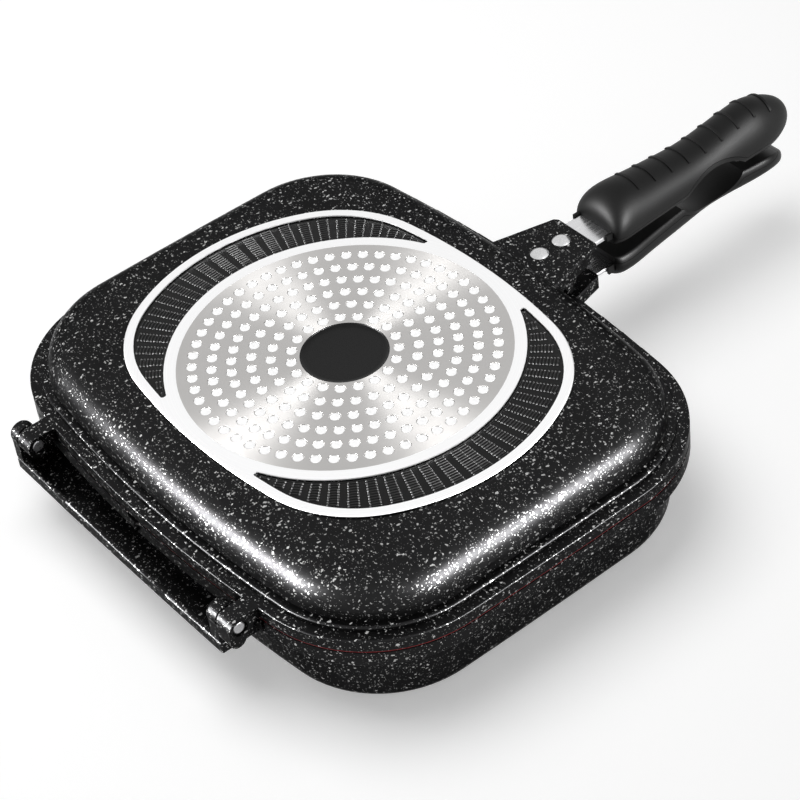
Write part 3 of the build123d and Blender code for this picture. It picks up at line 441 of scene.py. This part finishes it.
def studs_mesh():
    """Aluminium studs of the pan's base, showing in the holes of the disc."""
    build = bmesh.new()
    rings = [(radius * MM, height * MM) for radius, height in STUD_RINGS]
    for x, y in hole_places():
        dome(build, x, y, rings, STUD_SIDES)
    return finished(build, "studs")


def dish_mesh():
    """Smooth black recess in the middle: a flat floor and a cove up to the disc."""
    profile = [(0.0, -CENTRE_DEPTH)]
    for step in range(COVE_STEPS + 1):
        turn = math.pi / 2 * step / COVE_STEPS
        radius = CENTRE_RADIUS - DISH_MARGIN - COVE_WIDTH * (1 - math.sin(turn))
        profile.append((radius, -CENTRE_DEPTH * math.cos(turn) - DISH_DROP))
    profile.append((CENTRE_RADIUS - DISH_LIP[0], -DISH_LIP[1]))
    build = bmesh.new()
    dome(build, 0.0, 0.0, profile[::-1], DISH_SIDES)
    return finished(build, "dish")


def pad_radius(angle, inset):
    """Distance in mm from the middle to the bowed outline of the base pad, at an angle."""
    half_x, half_y, side_r, end_r, corner_r = (value - inset for value in PAD_PLAN_MM)
    side_c, end_c = half_x - side_r, half_y - end_r
    to_side, to_end = side_r - corner_r, end_r - corner_r
    apart = math.hypot(side_c, end_c)
    along = (to_side**2 - to_end**2 + apart**2) / (2 * apart)
    off = math.sqrt(to_side**2 - along**2)
    corner_x = side_c - along * side_c / apart - off * end_c / apart
    corner_y = along * end_c / apart - off * side_c / apart
    side_end = side_r * math.sin(math.atan2(corner_y, corner_x - side_c))
    end_end = end_r * math.cos(math.atan2(corner_y - end_c, corner_x))
    c, s = abs(math.cos(angle)), abs(math.sin(angle))

    def hit(x, y, radius):
        """Distance along the ray to the far side of a circle."""
        b = c * x + s * y
        return b + math.sqrt(radius**2 - (x * x + y * y) + b * b)

    reach = hit(side_c, 0.0, side_r)
    if reach * s <= side_end:
        return reach
    reach = hit(0.0, end_c, end_r)
    if reach * c <= end_end:
        return reach
    return hit(corner_x, corner_y, corner_r)


def polar(build, angle, radius, height):
    return build.verts.new((radius * math.cos(angle), radius * math.sin(angle), height))


def bar(build, angles, inner, outer, low, high, material):
    """Add a raised bar between two radii, along a list of angles, with sloping sides."""
    slope = BAR_SLOPE * (outer - inner)
    rows = []
    for angle in angles:
        levels = ((inner, low), (inner + slope, high), (outer - slope, high), (outer, low))
        rows.append([polar(build, angle, radius, height) for radius, height in levels])
    for before, after in zip(rows, rows[1:]):
        for k in range(len(before) - 1):
            face = build.faces.new((before[k], before[k + 1], after[k + 1], after[k]))
            face.material_index = material
    for row in (rows[0], rows[-1]):
        build.faces.new(row).material_index = material


def crescent_mesh():
    """Black moulded floor of both crescents, with ladders of small rungs between beads."""
    build = bmesh.new()
    floor = -CRESCENT_FLOOR
    tip = math.asin(CRESCENT_TIP_Y / RING_RADIUS)
    step = (math.pi - 2 * tip) / CRESCENT_STEPS
    line = [RING_RADIUS + reach for reach in EDGE_LINE]
    for side in (1, -1):
        angles = [side * (tip + step * k) for k in range(CRESCENT_STEPS + 1)]
        rows = []
        for angle in angles:
            edges = (RING_RADIUS, pad_radius(angle, CRESCENT_BORDER) * MM)
            rows.append([polar(build, angle, radius, floor) for radius in edges])
        for before, after in zip(rows, rows[1:]):
            build.faces.new((before[0], before[1], after[1], after[0]))
        # the raised edge line is tinted lighter grey as a painted highlight
        bar(build, angles, *line, floor, floor + EDGE_LINE_HEIGHT, PAINTED_HIGHLIGHT_SLOT)
    bead_levels = ((1.0, 0.0), (0.7, 0.8), (0.0, 1.0))  # shares of the radius and the height
    bead = [(r * BEAD_RADIUS, floor + h * BEAD_HEIGHT) for r, h in bead_levels]
    for index in range(round(2 * math.pi / LADDER_PITCH)):
        middle = LADDER_FIRST + index * LADDER_PITCH
        ends = (middle - LADDER_WIDTH / 2, middle, middle + LADDER_WIDTH / 2)
        border = min(pad_radius(angle, CRESCENT_BORDER) for angle in ends) * MM
        least = CRESCENT_TIP_Y + LADDER_TIP_MARGIN
        radius = FIRST_RUNG
        while radius < border - LADDER_MARGIN and abs(radius * math.sin(middle)) > least:
            inner, outer = radius - RUNG_WIDTH / 2, radius + RUNG_WIDTH / 2
            # each rung is tinted lighter grey as a painted highlight
            bar(build, ends, inner, outer, floor, floor + RUNG_HEIGHT, PAINTED_HIGHLIGHT_SLOT)
            for angle in (ends[0], ends[-1]):
                x, y = radius * math.cos(angle), radius * math.sin(angle)
                # the beads at the rung ends are tinted much lighter as painted glints
                dome(build, x, y, bead, BEAD_SIDES, PAINTED_GLINT_SLOT)
            radius += RUNG_PITCH
    return finished(build, "crescents")


# ---- materials, CAD nodes and pieces -------------------------------------------------------------
upper_coat = granite("upper_granite", TOP_Z, -1.0)
lower_coat = granite("lower_granite", 0.0, 1.0)
disc_steel = brushed_disc("disc_steel")
strap_steel = polished("strap_steel", (0.74, 0.74, 0.75), (0.6, 0.6, 0.61), 0.22, (0.06, 1.0, 1.0))
rivet_metal = polished("rivet_metal", (0.7, 0.7, 0.7), (0.5, 0.5, 0.51), 0.25)
pin_steel = polished("pin_steel", (0.5, 0.5, 0.51), (0.34, 0.34, 0.35), 0.3)
magnet_nickel = polished("magnet_nickel", (0.7, 0.69, 0.67), (0.6, 0.59, 0.57), 0.15)
stud_metal = polished("stud_metal", (0.95, 0.95, 0.95), (0.85, 0.85, 0.85), 0.35)
grip_plastic = satin_plastic("grip_plastic", 0.0035, 0.48, 0.14)
cover_plastic = satin_plastic("cover_plastic", 0.003, 0.42, 0.14)
dish_black = satin_plastic("dish_black", 0.003, 0.3, 0.16)
relief_black = satin_plastic("relief_black", 0.003, 0.36, 0.14)
# the rungs and the raised edge line: the black moulding in a lighter grey, a painted highlight
relief_painted_highlight = satin_plastic("relief_painted_highlight", 0.014, 0.35, 0.25)
# the beads: the black moulding in a much lighter grey, painted glints
relief_painted_glint = satin_plastic("relief_painted_glint", 0.11, 0.3, 0.4)
seal_silicone = silicone("seal_silicone")

dress("upper_pan_shell", upper_coat)
dress("lower_pan_shell", lower_coat)
dress("silicone_gasket", seal_silicone)
for side in ("upper", "lower"):
    dress(f"{side}_handle_strap", strap_steel)
    dress(f"{side}_handle_rivets", rivet_metal)
    dress(f"{side}_handle_grip", grip_plastic)
    dress(f"{side}_handle_cover", cover_plastic)
    dress(f"{side}_handle_screws", pin_steel)
    dress(f"{side}_handle_magnet", magnet_nickel)
for side in ("left", "right"):
    dress(f"hinge_pin_{side}", pin_steel)

for side, base_z, up in (("upper", TOP_Z, 1), ("lower", 0.0, -1)):
    half = f"{side}_half"
    disc_node = f"{side}_induction_disc"
    disc = settle(f"{side}_perforated_disc", disc_mesh(), half, base_z, up, [disc_steel])
    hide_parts(disc_node)
    settle(f"{side}_base_studs", studs_mesh(), half, base_z, up, [stud_metal])
    settle(f"{side}_centre_dish", dish_mesh(), half, base_z, up, [dish_black])
    reliefs = [relief_black, relief_painted_highlight, relief_painted_glint]  # in the order of the slot numbers
    settle(f"{side}_crescent_relief", crescent_mesh(), half, base_z, up, reliefs)


# ---- stage: floor, lamps, world and camera -------------------------------------------------------
def directly_seen(tree):
    """1 for camera, glossy and transmission rays, else 0."""
    rays = tree.nodes.new("ShaderNodeLightPath")
    seen = rays.outputs["Is Camera Ray"]
    for kind in ("Is Glossy Ray", "Is Transmission Ray"):
        either = tree.nodes.new("ShaderNodeMath")
        either.operation = "MAXIMUM"
        tree.links.new(seen, either.inputs[0])
        tree.links.new(rays.outputs[kind], either.inputs[1])
        seen = either.outputs[0]
    return seen


def build_world():
    """White to the camera and in reflections, a soft dim fill for everything else."""
    world = bpy.data.worlds.new("studio")
    bpy.context.scene.world = world
    world.use_nodes = True
    tree = world.node_tree
    back = tree.nodes["Background"]
    back.inputs["Color"].default_value = (1, 1, 1, 1)
    seen = directly_seen(tree)
    strength = tree.nodes.new("ShaderNodeMapRange")
    tree.links.new(seen, strength.inputs["Value"])
    strength.inputs["To Min"].default_value = WORLD_FILL
    strength.inputs["To Max"].default_value = WORLD_WHITE
    tree.links.new(strength.outputs["Result"], back.inputs["Strength"])


def build_floor():
    """Large pale floor that keeps a soft shadow."""
    bpy.ops.mesh.primitive_plane_add(size=FLOOR_SIZE, location=(0, 0, FLOOR_Z))
    floor = bpy.context.object
    floor.name = "floor"
    material = bpy.data.materials.new("floor_paper")
    material.use_nodes = True
    tree = material.node_tree
    tree.nodes.remove(tree.nodes["Principled BSDF"])
    paper = tree.nodes.new("ShaderNodeBsdfDiffuse")
    paper.inputs["Color"].default_value = (FLOOR_TONE,) * 3 + (1.0,)
    glow = tree.nodes.new("ShaderNodeEmission")
    glow.inputs["Color"].default_value = (1, 1, 1, 1)
    seen = directly_seen(tree)
    level = tree.nodes.new("ShaderNodeMath")
    level.operation = "MULTIPLY"
    level.inputs[1].default_value = FLOOR_GLOW
    tree.links.new(seen, level.inputs[0])
    tree.links.new(level.outputs[0], glow.inputs["Strength"])
    both = tree.nodes.new("ShaderNodeAddShader")
    tree.links.new(paper.outputs[0], both.inputs[0])
    tree.links.new(glow.outputs[0], both.inputs[1])
    tree.links.new(both.outputs[0], tree.nodes["Material Output"].inputs["Surface"])
    floor.data.materials.append(material)


def softbox(name, place, target, size, power, lights_matt):
    """Rectangular area lamp aimed at a point."""
    data = bpy.data.lights.new(name, "AREA")
    data.shape = "RECTANGLE"
    data.size, data.size_y = size
    data.energy = power
    lamp = bpy.data.objects.new(name, data)
    bpy.context.scene.collection.objects.link(lamp)
    lamp.location = place
    aim = Vector(target) - Vector(place)
    lamp.rotation_euler = aim.to_track_quat("-Z", "Y").to_euler()
    lamp.visible_camera = False
    lamp.visible_diffuse = lights_matt
    lamp.visible_glossy = not lights_matt


def build_camera():
    """Camera over the base face, looking along right x down."""
    data = bpy.data.cameras.new("camera")
    data.lens = CAMERA_LENS_MM
    data.sensor_width = CAMERA_SENSOR_MM
    camera = bpy.data.objects.new("camera", data)
    bpy.context.scene.collection.objects.link(camera)
    forward = CAMERA_RIGHT.cross(CAMERA_DOWN)
    turn = Matrix((CAMERA_RIGHT, -CAMERA_DOWN, -forward)).transposed()
    place = CAMERA_OVER_BASE + Vector((0.0, 0.0, TOP_Z))
    camera.matrix_world = Matrix.Translation(place) @ turn.to_4x4()
    bpy.context.scene.camera = camera


build_world()
build_floor()
for name, way, size, power, lights_matt in LAMPS:
    aim = Vector((0.0, 0.0, TOP_Z))
    softbox(name, aim + LAMP_REACH * Vector(way).normalized(), aim, size, power, lights_matt)
build_camera()
bpy.context.scene.view_settings.view_transform = "Standard"
